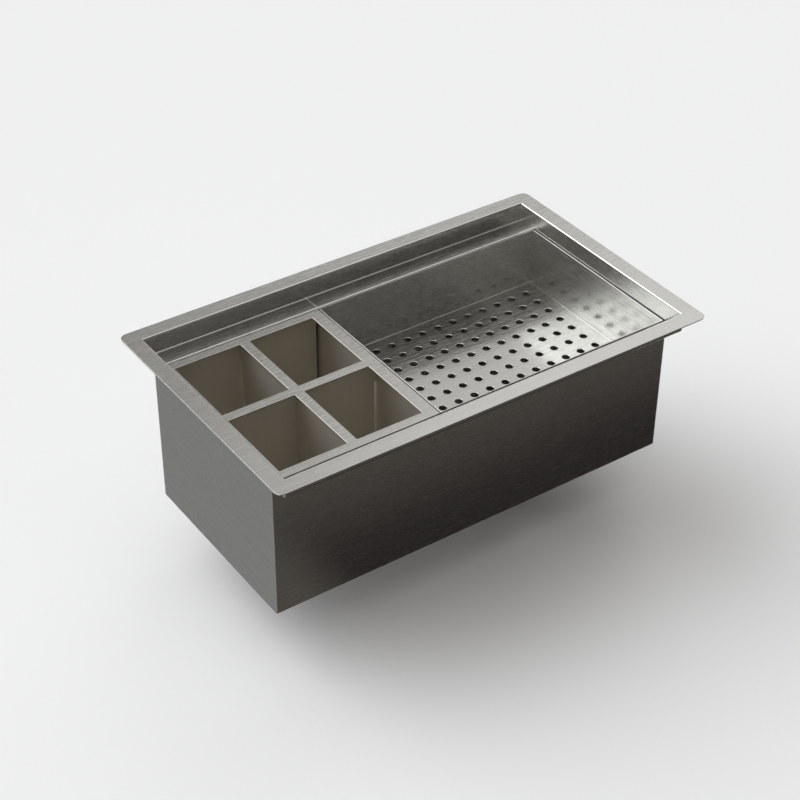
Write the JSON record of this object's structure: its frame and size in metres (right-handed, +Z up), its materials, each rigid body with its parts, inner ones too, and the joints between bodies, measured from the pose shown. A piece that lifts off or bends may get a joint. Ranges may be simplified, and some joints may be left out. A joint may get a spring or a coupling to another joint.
{
  "type": "wet trough",
  "caption": "Two-tier steel kitchen trough with ledges, a lift-out four-cell caddy, a perforated drain tray and a basket drain.",
  "frame": {"origin": "centre of the worktop cut-out, on the underside of the rim", "axes": "+X along the trough towards the drain tray, +Y towards the back, +Z up"},
  "size_m": [0.61, 0.362, 0.3047],
  "materials": {
    "trough_sheet": "satin, brushed along the sheet",
    "insert_sheet": "satin, brushed along the sheet",
    "drain_steel": "polished and turned",
    "rubber": "matt, moulded",
    "fibre": "pressed fibre, dry"
  },
  "bodies": {
    "trough": {"rim": "trough_sheet", "upper_wall_front": "trough_sheet", "upper_wall_back": "trough_sheet", "upper_wall_left": "trough_sheet", "upper_wall_right": "trough_sheet", "ledge_front_left": "trough_sheet", "ledge_front_right": "trough_sheet", "ledge_back_left": "trough_sheet", "ledge_back_right": "trough_sheet", "trough_wall_front": "trough_sheet", "trough_wall_back": "trough_sheet", "trough_wall_left": "trough_sheet", "trough_wall_right": "trough_sheet", "trough_floor": "trough_sheet", "tray_rail_front": "trough_sheet", "tray_rail_back": "trough_sheet", "strainer_bowl": "drain_steel", "strainer_spout": "drain_steel", "floor_gasket": "rubber", "fibre_washer": "fibre", "ring_nut": "drain_steel", "outlet_seal": "rubber", "outlet_tube": "drain_steel", "slip_nut": "drain_steel"},
    "basket": {"basket_cup": "drain_steel", "basket_seal": "rubber", "basket_stem": "drain_steel", "basket_knob": "rubber"},
    "tray": {"tray_floor": "insert_sheet", "tray_wall_front": "insert_sheet", "tray_wall_back": "insert_sheet", "tray_wall_left": "insert_sheet", "tray_wall_right": "insert_sheet", "tray_feet": "rubber"},
    "caddy": {"caddy_plate_top": "insert_sheet", "caddy_wall_front": "insert_sheet", "caddy_wall_back": "insert_sheet", "caddy_wall_left": "insert_sheet", "caddy_wall_right": "insert_sheet", "caddy_divider_long": "insert_sheet", "caddy_divider_cross": "insert_sheet", "caddy_base": "insert_sheet", "caddy_feet": "rubber"}
  },
  "joints": [
    {"name": "caddy_lift", "type": "slide", "parent": "trough", "child": "caddy", "axis": [0, 0, 1], "range_m": [0, 0.23]},
    {"name": "tray_lift", "type": "slide", "parent": "trough", "child": "tray", "axis": [0, 0, 1], "range_m": [0, 0.12]},
    {"name": "basket_lift", "type": "slide", "parent": "trough", "child": "basket", "axis": [0, 0, 1], "range_m": [0, 0.06]}
  ]
}
